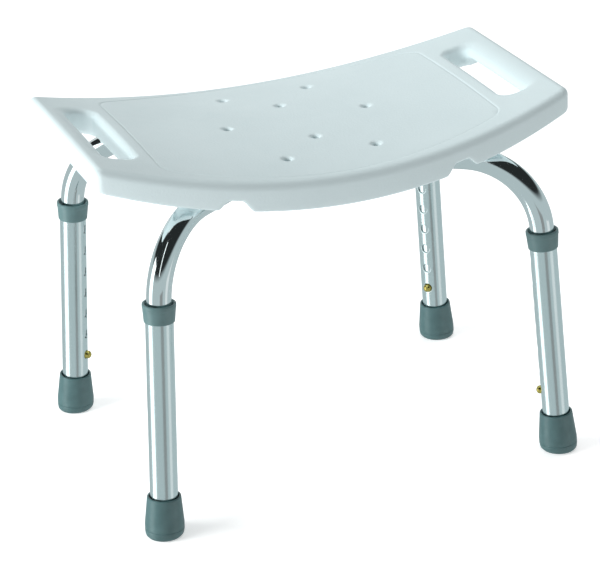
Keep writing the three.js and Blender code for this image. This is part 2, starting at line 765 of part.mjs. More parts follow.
function cornerName(sx, sy) {
  return `${sy < 0 ? 'front' : 'back'}_${sx < 0 ? 'left' : 'right'}`;
}

function addSeatFasteners(sx, sy) {
  const group = new THREE.Group();
  group.position.set(sx * SCREW_PLACE * Math.cos(DIAGONAL), sy * SCREW_PLACE * Math.sin(DIAGONAL), 0);
  const washerTop = RUN_HEIGHT - FRAME_RADIUS - GAP;
  const washer = makeWasher(SCREW_RADIUS + HOLE_PLAY, SCREW_HEAD_RADIUS + 1, washerTop);
  place(group, `seat_screw_${cornerName(sx, sy)}`, makeSeatScrew(), STEEL);
  place(group, `seat_washer_${cornerName(sx, sy)}`, washer, STEEL);
  stool.add(group);
}

function addLeg(sx, sy) {
  const matrix = legMatrix(sx, sy);
  const group = new THREE.Group();
  group.applyMatrix4(matrix);
  const corner = cornerName(sx, sy);
  place(group, `leg_tube_${corner}`, makeLegTube(), SATIN_ALUMINIUM);
  place(group, `collar_${corner}`, makeCollar(), GREY_PLASTIC);
  place(group, `foot_${corner}`, makeFoot(matrix), GREY_RUBBER);
  place(group, `foot_disc_${corner}`, makeFootDisc(), STEEL);
  place(group, `snap_button_${corner}`, makeButton(), BRASS);
  place(group, `button_spring_${corner}`, makeButtonSpring(), STEEL);
  stool.add(group);
}

addFrame();
[[-1, -1], [1, -1], [1, 1], [-1, 1]].forEach(([sx, sy]) => {
  addSeatFasteners(sx, sy);
  addLeg(sx, sy);
});

export default stool;
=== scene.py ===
"""Shower stool: a blow-moulded seat on two polished tubes, with four telescopic legs.

Sizes are in millimetres, and become metres when a mesh is made. +X runs along the seat,
-Y is the front, and the origin is on the floor under the seat's middle.
"""
import math

import bmesh
import bpy
from mathutils import Matrix, Vector
from mathutils.geometry import delaunay_2d_cdt


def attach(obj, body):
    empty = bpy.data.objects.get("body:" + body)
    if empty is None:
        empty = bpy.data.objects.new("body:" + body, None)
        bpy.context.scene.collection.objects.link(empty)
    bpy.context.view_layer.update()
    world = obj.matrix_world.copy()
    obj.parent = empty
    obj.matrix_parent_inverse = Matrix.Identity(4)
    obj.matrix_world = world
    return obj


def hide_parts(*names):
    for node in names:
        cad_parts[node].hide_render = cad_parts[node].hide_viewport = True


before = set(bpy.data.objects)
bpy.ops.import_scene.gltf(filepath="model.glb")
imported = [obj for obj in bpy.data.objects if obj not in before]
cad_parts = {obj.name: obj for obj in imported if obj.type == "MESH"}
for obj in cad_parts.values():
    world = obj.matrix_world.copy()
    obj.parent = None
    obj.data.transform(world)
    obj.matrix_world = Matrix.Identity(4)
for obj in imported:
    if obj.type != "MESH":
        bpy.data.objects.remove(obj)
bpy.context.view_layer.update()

MM = 0.001

# Seat
SEAT_HALF_LENGTH = 257
SEAT_END_HALF_WIDTH = 123
SEAT_BULGE = 36  # added to the half width at mid-length
SEAT_EDGE_HEIGHT = 351.5  # of the long edges at mid-length
SEAT_END_RISE = 40
SEAT_CROWN = 8  # how much the middle stands over the long edges
SEAT_CORNER_RADIUS = 12
SEAT_EDGE_RADIUS = 9
SKIRT_DEPTH = 31  # at mid-length
SKIRT_TAPER = 5  # how much shallower it is at the ends
SKIRT_WIDTH = 9
SKIRT_EDGE_RADIUS = 3
PLATE_THICKNESS = 19
RECESS_HALF_LENGTH = 190
RECESS_CORNER_RADIUS = 13
RECESS_DRAFT = 2.6
PANEL_HALF_LENGTH = 184
PANEL_INSET = 12.5
PANEL_NARROWING = 15  # at the panel's ends
PANEL_CORNER_RADIUS = 13
PANEL_LINE_DEPTH = 0.5
PANEL_LINE_WIDTH = 0.9
PANEL_STEP = 0.25  # how much lower the surface is inside the line

# Grip slots
SLOT_INNER_X = 201
SLOT_OUTER_X = 231
SLOT_HALF_LENGTH = 80
SLOT_CORNER_RADIUS = 13
SLOT_FLARE = 7
SLOT_BAR_FLARE = 13
SLOT_FLARE_DEPTH = 7
SLOT_BOTTOM_FLARE = 4
SLOT_BAR_BOTTOM_FLARE = 9
SLOT_BOTTOM_FLARE_DEPTH = 7
BAR_RELIEF_X = 247
BAR_RELIEF_HALF_LENGTH = 74
BAR_RELIEF_DRAFT = 5

# Drain holes and the vent
DRAIN_RADIUS = 3.2
DRAIN_DISH = 5  # how much wider the hole is at the top
DRAIN_DISH_DEPTH = 5
DRAIN_PLACES = [
    (48.5, 99), (-48.5, 99), (48.5, -99), (-48.5, -99),
    (78, 0), (-78, 0), (0, 53), (0, -53),
]
VENT_PLACE = (0, 80)
VENT_RADIUS = 3
VENT_DEPTH = 4
HOLE_LIP = 0.8

# Notches in the skirt
NOTCH_INNER_X = 104
NOTCH_OUTER_X = 141
NOTCH_SLANT = 11
NOTCH_CURVE = 13
NOTCH_DEPTH = 11

# Frame tubes
FRAME_RADIUS = 12.7
FRAME_WALL = 1.6
RUN_HEIGHT = 327.2  # of the axis under the seat
BEND_RADIUS = 80
FRAME_END = 44  # along the leg from the floor
CROSSING_GAP = 0.4
DIP_INNER = 16  # the lower tube's dip, from the crossing
DIP_OUTER = 88
HOLE_PLAY = 0.4
HOLE_EDGE = 0.3  # the rounding of a hole's edge, and how deep it goes
HOLE_EDGE_DEPTH = 0.25

# Legs
FOOT_X = 223
FOOT_Y = 162.3
SPLAY = math.radians(3.865)
LEG_RADIUS = 14.3
LEG_WALL = 1.2
LEG_BOTTOM = 12.7
LEG_TOP = 247
HOLE_PITCH = 25.4
HOLE_COUNT = 7
HOLE_RADIUS = 4.8
LEG_DIMPLE = 0.8  # the pressed-in rim of an adjusting hole
BUTTON_PLACE = 68
COLLAR_BOTTOM = 232.5
COLLAR_TOP = 252
COLLAR_RADIUS = 17.2
FOOT_TOP = 43
FOOT_RADIUS = 20.3
FOOT_MOUTH_RADIUS = 17.4
FOOT_FLOOR = 10
DISC_RADIUS = 13.8
DISC_THICKNESS = 2
BUTTON_RADIUS = 4.4
BUTTON_FLANGE_RADIUS = 5.5
BUTTON_FLANGE_BACK = 8
BUTTON_FLANGE_FRONT = 9.2
BUTTON_TIP = 19.3
BUTTON_DOME = 3.6
SPRING_WIDTH = 7
SPRING_THICKNESS = 0.6

# Fasteners
SCREW_PLACE = 110  # along the tube from the crossing
SCREW_RADIUS = 2.5
SCREW_HEAD_RADIUS = 5
SCREW_HEAD_HEIGHT = 3.2
SCREW_DEPTH_IN_SEAT = 12
BOLT_RADIUS = 3
BOLT_HEAD_RADIUS = 6
BOLT_HEAD_HEIGHT = 2.3
NUT_RADIUS = 5.8
NUT_HEIGHT = 5
WASHER_THICKNESS = 1.2
THREAD_PITCH = 0.8
GAP = 0.3

# Saddles under the seat, one over each screw
SADDLE_HALF_LENGTH = 22
SADDLE_HALF_WIDTH = 18
SADDLE_BOTTOM = RUN_HEIGHT + 4
SADDLE_DRAFT = 1.6
CHANNEL_RADIUS = FRAME_RADIUS + HOLE_PLAY
POCKET_RADIUS = 7
POCKET_DEPTH = 4

DIAGONAL = math.atan2(FOOT_Y, FOOT_X)
FOOT_REACH = math.hypot(FOOT_X, FOOT_Y)
CORNERS = [(-1, -1), (1, -1), (1, 1), (-1, 1)]
SCREW_X = SCREW_PLACE * math.cos(DIAGONAL)
SCREW_Y = SCREW_PLACE * math.sin(DIAGONAL)
SCREW_HEAD_TOP = RUN_HEIGHT - FRAME_RADIUS - 2 * GAP - WASHER_THICKNESS
CROSSING_BOTTOM = RUN_HEIGHT - 3 * FRAME_RADIUS - CROSSING_GAP

# Mesh fineness
TURNED_SIDES = 72
TUBE_SIDES = 64
BEND_STEP = 2.5
STRAIGHT_STEP = 6
SIDE_STEP = 2
END_STEP = 3
CORNER_STEPS = 12
FILLET_STEPS = 5
HOLE_SIDES = 32
GRID_STEP = 6
SHARP_ANGLE = math.radians(38)


# ---- mesh making ----

class Skin:
    """The points and faces of one closed piece, in millimetres. Each point also keeps its
    place in the piece's own frame, length first, which drawn and brushed metal follows."""

    def __init__(self):
        self.points = []
        self.lengthwise = []
        self.faces = []

    def add(self, point, lengthwise=None):
        self.points.append(Vector(point))
        self.lengthwise.append(Vector(lengthwise or point))
        return len(self.points) - 1

    def ring(self, points):
        return [self.add(point) for point in points]

    def band(self, one, other):
        """Faces between two closed rings, or between a ring and a single point."""
        count = max(len(one), len(other))
        for n in range(count):
            m = (n + 1) % count
            near = one[n % len(one)], one[m % len(one)]
            far = other[n % len(other)], other[m % len(other)]
            self.faces.append(tuple(dict.fromkeys((near[0], *far, near[1]))))

    def bands(self, rings):
        for one, other in zip(rings, rings[1:]):
            self.band(one, other)

    def sheet(self, loops, inner, lift):
        """Triangles inside the first loop and outside the others, which are convex. A loop's
        entries are (point's number, its place), and lift makes a point of an inner place."""
        places, edges, known, owner = [], [], [], []
        for turn, loop in enumerate(loops):
            start = len(places)
            count = len(loop)
            known += [number for number, _ in loop]
            owner += [turn] * count
            places += [Vector(place) for _, place in loop]
            edges += [(start + n, start + (n + 1) % count) for n in range(count)]
        places += [Vector(place) for place in inner]
        found = delaunay_2d_cdt(places, edges, [], 1, 1e-6)
        on_loop = [next((s for s in sources if s < len(known)), None) for sources in found[3]]
        numbers = {}
        for face in found[2]:
            owners = {None if on_loop[v] is None else owner[on_loop[v]] for v in face}
            if len(owners) == 1 and owners.isdisjoint({None, 0}):
                continue
            for v in face:
                if v not in numbers:
                    shared = on_loop[v]
                    numbers[v] = lift(*found[0][v]) if shared is None else known[shared]
            self.faces.append(tuple(numbers[v] for v in face))

    def mesh(self, name):
        data = bpy.data.meshes.new(name)
        data.from_pydata([point * MM for point in self.points], [], self.faces)
        attribute = data.attributes.new("lengthwise", "FLOAT_VECTOR", "POINT")
        parts = [part * MM for place in self.lengthwise for part in place]
        attribute.data.foreach_set("vector", parts)
        shape = bmesh.new()
        shape.from_mesh(data)
        bmesh.ops.recalc_face_normals(shape, faces=shape.faces)
        shape.to_mesh(data)
        shape.free()
        data.shade_smooth()
        data.set_sharp_from_angle(angle=SHARP_ANGLE)
        return data


def spaced(start, end, step):
    """Even places from start to end, about a step apart."""
    count = max(1, round(abs(end - start) / step))
    return [start + (end - start) * n / count for n in range(count + 1)]


def eased(share):
    share = min(1, max(0, share))
    return share * share * (3 - 2 * share)


def quarter_arc(steps):
    """(sine, cosine) of angles from 0 to a right angle."""
    right = math.pi / 2
    return [(math.sin(angle), math.cos(angle)) for angle in spaced(0, right, right / steps)]


def circle(x, y, radius, sides=36):
    turns = [math.tau * n / sides for n in range(sides)]
    return [(x + radius * math.cos(turn), y + radius * math.sin(turn)) for turn in turns]


def rounded(corners, closed=True):
    """An outline whose corners, each (across, up, fillet radius), are rounded with arcs."""
    outline = []
    for n, (across, up, fillet) in enumerate(corners):
        here = Vector((across, up))
        if not fillet or (not closed and n in (0, len(corners) - 1)):
            outline.append(tuple(here))
            continue
        back = Vector(corners[n - 1][:2]) - here
        ahead = Vector(corners[(n + 1) % len(corners)][:2]) - here
        half = back.angle(ahead) / 2
        reach = min(fillet / math.tan(half), 0.49 * back.length, 0.49 * ahead.length)
        middle = (back.normalized() + ahead.normalized()).normalized()
        centre = here + middle * reach / math.cos(half)
        start = here + back.normalized() * reach - centre
        end = here + ahead.normalized() * reach - centre
        radius = start.length
        for k in range(FILLET_STEPS + 1):
            outline.append(tuple(centre + radius * start.slerp(end, k / FILLET_STEPS).normalized()))
    return outline


def turned(profile, matrix, closed=False, sides=TURNED_SIDES, shift=None):
    """A piece turned about the matrix's Z axis from (radius, height) points."""
    skin = Skin()
    rings = []
    for radius, height in profile:
        ring = []
        for x, y in circle(0, 0, radius, sides if radius > 1e-6 else 1):
            point = matrix @ Vector((x, y, height))
            ring.append(skin.add(shift(point, height) if shift else point, (height, x, y)))
        rings.append(ring)
    skin.bands(rings)
    if closed:
        skin.band(rings[-1], rings[0])
    return skin


class Route:
    """A path in the matrix's XZ plane, made of stretches (length, turn)."""

    def __init__(self, matrix, start, heading, stretches):
        self.matrix = matrix
        self.legs = []
        across, up = start
        run = 0
        for length, turn in stretches:
            self.legs.append((run, length, turn, across, up, heading))
            across, up, heading = self.along(length, length, turn, across, up, heading)
            run += length
        self.length = run

    @staticmethod
    def along(part, length, turn, across, up, heading):
        if not turn:
            return across + part * math.cos(heading), up + part * math.sin(heading), heading
        radius = length / turn
        later = heading + turn * part / length
        across += radius * (math.sin(later) - math.sin(heading))
        up -= radius * (math.cos(later) - math.cos(heading))
        return across, up, later

    def point(self, run, off, aside):
        """The point at a length along the route, moved off it in the plane and out of it."""
        leg = next(leg for leg in reversed(self.legs) if leg[0] <= run + 1e-9)
        across, up, heading = self.along(run - leg[0], *leg[1:])
        place = Vector((across - off * math.sin(heading), aside, up + off * math.cos(heading)))
        return self.matrix @ place

    def stations(self):
        runs = []
        for run, length, turn, *_ in self.legs:
            runs += spaced(run, run + length, BEND_STEP if turn else STRAIGHT_STEP)[:-1]
        return runs + [self.length]


def tube(route, radius, wall, holes, dimple=0.0):
    """A tube along a route, with round holes at (run, angle, hole radius)."""
    skin = Skin()
    seam = math.pi / 2
    rim = 0.35
    angles = [seam + math.tau * n / TUBE_SIDES for n in range(TUBE_SIDES)]
    runs = [run for run in route.stations() if rim * 2 < run < route.length - rim * 2]

    def put(run, angle, at):
        off, aside = at * math.cos(angle), at * math.sin(angle)
        return skin.add(route.point(run, off, aside), (run, off, aside))

    def ring(run, at):
        return [put(run, angle, at) for angle in angles]

    def hole_loop(hole, at, growth):
        run, angle, size = hole
        loop = []
        for n in range(HOLE_SIDES):
            turn = math.tau * n / HOLE_SIDES
            side = angle + math.asin((size + growth) * math.sin(turn) / at)
            loop.append((run + (size + growth) * math.cos(turn), side))
        return loop

    def sheet(at, first, last, rims):
        """The wall's surface between its end rings, unrolled from the seam and round to it."""
        low, high = seam * radius, (seam + math.tau) * radius
        finish = route.length - rim
        seam_points = [(run, put(run, seam, at)) for run in runs]
        lap = [(first[n], (rim, angles[n] * radius)) for n in range(TUBE_SIDES)]
        lap.append((first[0], (rim, high)))
        lap += [(number, (run, high)) for run, number in seam_points]
        lap.append((last[0], (finish, high)))
        lap += [(last[n], (finish, angles[n] * radius)) for n in reversed(range(TUBE_SIDES))]
        lap += [(number, (run, low)) for run, number in reversed(seam_points)]
        loops = [lap]
        for numbers, places in rims:
            flat = [(run, angle * radius) for run, angle in places]
            loops.append(list(zip(numbers, flat)))
        inner = []
        for growth in (HOLE_LIP + dimple, 2 * HOLE_LIP + dimple):
            for hole in holes:
                inner += [(run, angle * radius) for run, angle in hole_loop(hole, at, growth)]
        for row, run in enumerate(runs):
            for n in range(TUBE_SIDES):
                angle = seam + math.tau * (n + 0.5 * (row % 2)) / TUBE_SIDES
                if not seam + 0.02 < angle < seam + math.tau - 0.02:
                    continue
                gaps = [
                    math.hypot(run - spot, (angle - side) * radius) - size
                    for spot, side, size in holes
                ]
                if min(gaps, default=9) > 2 * HOLE_LIP + dimple + 0.6:
                    inner.append((run, angle * radius))
        skin.sheet(loops, inner, lambda run, across: put(run, across / radius, at))

    inside = radius - wall
    ends = []
    for end, inwards in ((0, 1), (route.length, -1)):
        steps = ((rim, 0), (rim * 0.3, rim * 0.3), (0, rim))
        rings = [ring(end + inwards * back, radius - drop) for back, drop in steps]
        rings += [ring(end + inwards * back, inside + drop) for back, drop in reversed(steps)]
        skin.bands(rings)
        ends.append(rings)
    outer_rims, inner_rims = [], []
    for hole in holes:
        levels = []
        for sine, cosine in quarter_arc(4):
            at = radius - (HOLE_EDGE_DEPTH + dimple) * (1 - cosine)
            levels.append((at, (HOLE_EDGE + dimple) * (1 - sine)))
        levels.append((inside, 0))
        rings = []
        for at, growth in levels:
            places = hole_loop(hole, at, growth)
            rings.append([put(run, angle, at) for run, angle in places])
        skin.bands(rings)
        outer_rims.append((rings[0], hole_loop(hole, radius, HOLE_EDGE + dimple)))
        inner_rims.append((rings[-1], hole_loop(hole, inside, 0)))
    sheet(radius, ends[0][0], ends[1][0], outer_rims)
    sheet(inside, ends[0][-1], ends[1][-1], inner_rims)
    return skin


def strip(route, width, thickness):
    """A flat strip bent along a route, with rounded edges and closed ends."""
    skin = Skin()
    half, deep, soft = width / 2, thickness / 2, thickness * 0.3
    section = rounded([(sx * deep, sy * half, soft) for sx, sy in CORNERS])
    rings = []
    for run in spaced(0, route.length, 1):
        ring = [skin.add(route.point(run, off, aside), (run, off, aside)) for off, aside in section]
        rings.append(ring)
    skin.bands(rings)
    for ring, run in ((rings[0], 0), (rings[-1], route.length)):
        skin.band(ring, [skin.add(route.point(run, 0, 0), (run, 0, 0))])
    return skin


# ---- seat ----

def side_width(x):
    return SEAT_END_HALF_WIDTH + SEAT_BULGE * (1 - (x / SEAT_HALF_LENGTH) ** 2)


def top_height(x, y):
    end = (x / SEAT_HALF_LENGTH) ** 2
    side = (y / side_width(x)) ** 2
    return SEAT_EDGE_HEIGHT + SEAT_END_RISE * end + SEAT_CROWN * (1 - end) * (1 - side)


def outline(half_length, inset, corner_radius, narrowing=0):
    """Places and outward directions round an outline like the seat's, narrower at its ends."""
    def edge(x):
        return side_width(x) - inset - narrowing * (x / half_length) ** 2

    corner_x = half_length - corner_radius
    slope = (edge(corner_x + 1) - edge(corner_x - 1)) / 2
    corner_y = edge(corner_x) - corner_radius * math.hypot(1, slope)
    turn = math.atan2(1, -slope)
    quarter = [((half_length, y), (1, 0)) for y in spaced(0, corner_y, END_STEP)[:-1]]
    for angle in spaced(0, turn, turn / CORNER_STEPS):
        nx, ny = math.cos(angle), math.sin(angle)
        quarter.append(((corner_x + corner_radius * nx, corner_y + corner_radius * ny), (nx, ny)))
    for x in spaced(quarter[-1][0][0], 0, SIDE_STEP)[1:]:
        tilt = -(edge(x + 1) - edge(x - 1)) / 2
        length = math.hypot(1, tilt)
        quarter.append(((x, edge(x)), (tilt / length, 1 / length)))
    half = quarter + [((-x, y), (-nx, ny)) for (x, y), (nx, ny) in reversed(quarter[:-1])]
    return half + [((x, -y), (nx, -ny)) for (x, y), (nx, ny) in reversed(half[1:-1])]


def outline_depth(x, y, half_length, inset, corner_radius, narrowing=0):
    """How far a place is inside an outline like the seat's."""
    from_end = half_length - abs(x)
    from_side = side_width(x) - inset - narrowing * (x / half_length) ** 2 - abs(y)
    if from_end < corner_radius and from_side < corner_radius:
        return corner_radius - math.hypot(corner_radius - from_end, corner_radius - from_side)
    return min(from_end, from_side)


def slot_loop(side, inwards, outwards, endwards):
    """A grip slot's outline, grown towards the seat, towards the bar and at its two ends."""
    radius = SLOT_CORNER_RADIUS + min(inwards, endwards)
    near, far = SLOT_INNER_X - inwards + radius, SLOT_OUTER_X + outwards - radius
    reach = SLOT_HALF_LENGTH + endwards - radius
    loop = []
    for quarter, (x, y) in enumerate([(far, reach), (near, reach), (near, -reach), (far, -reach)]):
        for angle in spaced(0, math.pi / 2, math.pi / 20):
            turn = angle + quarter * math.pi / 2
            loop.append((side * (x + radius * math.cos(turn)), y + radius * math.sin(turn)))
        if quarter % 2:
            wall = x - radius if quarter == 1 else x + radius
            loop += [(side * wall, step) for step in spaced(y, -y, END_STEP)[1:-1]]
    return loop


def slot_gap(x, y, inwards, outwards, endwards):
    """How far a place is outside a grown grip slot."""
    radius = SLOT_CORNER_RADIUS + min(inwards, endwards)
    middle = (SLOT_INNER_X - inwards + SLOT_OUTER_X + outwards) / 2
    half = (SLOT_OUTER_X + outwards - SLOT_INNER_X + inwards) / 2
    across = abs(abs(x) - middle) - half + radius
    along = abs(y) - SLOT_HALF_LENGTH - endwards + radius
    return math.hypot(max(across, 0), max(along, 0)) + min(max(across, along), 0) - radius


def top_surface(x, y):
    panel = (PANEL_HALF_LENGTH, PANEL_INSET, PANEL_CORNER_RADIUS, PANEL_NARROWING)
    depth = outline_depth(x, y, *panel)
    line = PANEL_LINE_DEPTH * math.exp(-(depth / PANEL_LINE_WIDTH) ** 2)
    step = PANEL_STEP * eased(depth / (2 * PANEL_LINE_WIDTH) + 0.5)
    return top_height(x, y) - line - step


def notch_share(x):
    """0 where the skirt is whole and 1 under the top of a notch."""
    rise = (abs(x) - NOTCH_INNER_X) / NOTCH_SLANT
    fall = (NOTCH_OUTER_X - abs(x)) / NOTCH_CURVE
    straight = min(1, max(0, rise))
    return min((straight + eased(rise)) / 2, eased(fall))


def lip_height(x, y):
    """Height of the skirt's lower edge."""
    depth = SKIRT_DEPTH - SKIRT_TAPER * (x / SEAT_HALF_LENGTH) ** 2
    return top_height(x, y) - depth + NOTCH_DEPTH * notch_share(x)


def saddles():
    """(x, y, direction of the tube) of each saddle."""
    return [(sx * SCREW_X, sy * SCREW_Y, sx * sy * DIAGONAL) for sx, sy in CORNERS]


def saddle_place(saddle, along, across):
    x, y, turn = saddle
    return (
        x + along * math.cos(turn) - across * math.sin(turn),
        y + along * math.sin(turn) + across * math.cos(turn),
    )


def bar_share(x, y):
    """1 under the bar beyond a grip slot and 0 away from it."""
    before = (abs(x) - SLOT_INNER_X) / (SLOT_OUTER_X - SLOT_INNER_X)
    beyond = (BAR_RELIEF_X - abs(x)) / BAR_RELIEF_DRAFT + 0.5
    along = (BAR_RELIEF_HALF_LENGTH - abs(y)) / BAR_RELIEF_DRAFT + 0.5
    return eased(before) * eased(beyond) * eased(along)


def under_surface(x, y):
    """Height of the underside: the lip, its recesses, the saddles and the bolt's pocket."""
    depth = outline_depth(x, y, RECESS_HALF_LENGTH, SKIRT_WIDTH, RECESS_CORNER_RADIUS)
    share = max(eased(depth / RECESS_DRAFT + 0.5), bar_share(x, y))
    height = (1 - share) * lip_height(x, y) + share * (top_height(x, y) - PLATE_THICKNESS)
    for place_x, place_y, turn in saddles():
        dx, dy = x - place_x, y - place_y
        along = abs(dx * math.cos(turn) + dy * math.sin(turn))
        across = abs(dy * math.cos(turn) - dx * math.sin(turn))
        block = eased((SADDLE_HALF_LENGTH - along) / SADDLE_DRAFT + 0.5)
        block *= eased((SADDLE_HALF_WIDTH - across) / SADDLE_DRAFT + 0.5)
        if block:
            round_part = math.sqrt(max(0, CHANNEL_RADIUS**2 - across**2))
            height += block * (max(SADDLE_BOTTOM, RUN_HEIGHT + round_part) - height)
    pocket = eased((POCKET_RADIUS - math.hypot(x, y)) / HOLE_LIP + 0.5)
    return height + POCKET_DEPTH * pocket


def hexagonal_grid():
    half_width = SEAT_END_HALF_WIDTH + SEAT_BULGE
    for row, y in enumerate(spaced(-half_width, half_width, GRID_STEP * 0.87)):
        for x in spaced(-SEAT_HALF_LENGTH, SEAT_HALF_LENGTH, GRID_STEP):
            yield x + GRID_STEP / 2 * (row % 2), y


def apart(places, taken, distance):
    """The places that keep a distance from those taken."""
    cells = {}
    for x, y in taken:
        cells.setdefault((int(x // distance), int(y // distance)), []).append((x, y))
    kept = []
    for x, y in places:
        column, row = int(x // distance), int(y // distance)
        around = [(column + i, row + j) for i in (-1, 0, 1) for j in (-1, 0, 1)]
        near = [other for cell in around for other in cells.get(cell, [])]
        if all(math.hypot(x - a, y - b) >= distance for a, b in near):
            kept.append((x, y))
    return kept


def inside_rim(x, y, inset):
    """How far a place is inside the seat's edge, moved in by an inset."""
    return outline_depth(x, y, SEAT_HALF_LENGTH - inset, inset, SEAT_CORNER_RADIUS - inset)


def nearest(x, y, places):
    return min(math.hypot(x - a, y - b) for a, b in places)


def top_inner_places():
    """Places inside the seat's top sheet: rings beside its borders, the panel line and a grid."""
    lines = []
    for offset in (-2.6, -1.6, -0.9, -0.4, 0, 0.4, 0.9, 1.6, 2.6):
        panel = (PANEL_HALF_LENGTH - offset, PANEL_INSET + offset, PANEL_CORNER_RADIUS - offset)
        lines += [place for place, _ in outline(*panel, PANEL_NARROWING)]
    for inset in (1, 2.2):
        lines += [
            (x - (SEAT_EDGE_RADIUS + inset) * nx, y - (SEAT_EDGE_RADIUS + inset) * ny)
            for (x, y), (nx, ny) in outline(SEAT_HALF_LENGTH, 0, SEAT_CORNER_RADIUS)
        ]
    for x, y in DRAIN_PLACES:
        for growth in (0.7, 1.8):
            lines += circle(x, y, DRAIN_RADIUS + DRAIN_DISH + growth)
    places = lines + apart(hexagonal_grid(), lines, GRID_STEP / 2)

    def clear(x, y):
        inside = inside_rim(x, y, SEAT_EDGE_RADIUS)
        beside = slot_gap(x, y, SLOT_FLARE, SLOT_BAR_FLARE, SLOT_FLARE)
        drains = nearest(x, y, DRAIN_PLACES) - DRAIN_RADIUS - DRAIN_DISH
        return inside > 0.8 and beside > 0.9 and drains > 0.5

    return [place for place in places if clear(*place)]


def under_inner_places():
    """Places inside the underside's sheet: the recess wall, the saddles, the pocket and a grid."""
    lines = []
    for offset in (-3.4, -1.3, -0.9, -0.45, 0, 0.45, 0.9, 1.3, 3.4):
        wall = (RECESS_HALF_LENGTH - offset, SKIRT_WIDTH + offset, RECESS_CORNER_RADIUS - offset)
        lines += [place for place, _ in outline(*wall)]
    steps = (-0.8, -0.4, 0, 0.4, 0.8)
    alongs = [side * (SADDLE_HALF_LENGTH + step) for side in (-1, 1) for step in steps]
    alongs += spaced(-SADDLE_HALF_LENGTH + 2.5, SADDLE_HALF_LENGTH - 2.5, 3)
    acrosses = [side * (SADDLE_HALF_WIDTH + step) for side in (-1, 1) for step in steps]
    for side in (-1, 1):
        acrosses += [side * (CHANNEL_RADIUS - back) for back in (-1, 0.1, 0.63, 0.9, 1.6, 3, 5)]
    acrosses += spaced(-6, 6, 2.5)
    for saddle in saddles():
        lines += [saddle_place(saddle, along, across) for along in alongs for across in acrosses]
    for growth in (-1, -0.4, -0.2, 0, 0.2, 0.4, 1):
        lines += circle(0, 0, POCKET_RADIUS + growth)
    holes = [*DRAIN_PLACES, VENT_PLACE]
    for x, y in holes:
        lines += circle(x, y, DRAIN_RADIUS + 2 * HOLE_LIP)
    drafts = spaced(-BAR_RELIEF_DRAFT, BAR_RELIEF_DRAFT, 1.5)
    bar_ys = spaced(-BAR_RELIEF_HALF_LENGTH, BAR_RELIEF_HALF_LENGTH, END_STEP)
    bar_xs = spaced(SLOT_OUTER_X, BAR_RELIEF_X - BAR_RELIEF_DRAFT, END_STEP)
    for side in (1, -1):
        lines += [(side * (BAR_RELIEF_X + draft), y) for draft in drafts for y in bar_ys]
        for draft in drafts:
            for end in (1, -1):
                lines += [(side * x, end * (BAR_RELIEF_HALF_LENGTH + draft)) for x in bar_xs]
    places = lines + apart(hexagonal_grid(), lines, GRID_STEP / 2)

    def clear(x, y):
        inside = inside_rim(x, y, SKIRT_EDGE_RADIUS)
        beside = slot_gap(x, y, SLOT_BOTTOM_FLARE, SLOT_BAR_BOTTOM_FLARE, SLOT_BOTTOM_FLARE)
        drains = nearest(x, y, holes) - DRAIN_RADIUS - HOLE_LIP
        return inside > 0.7 and beside > 0.7 and drains > 0.4

    return [place for place in places if clear(*place)]


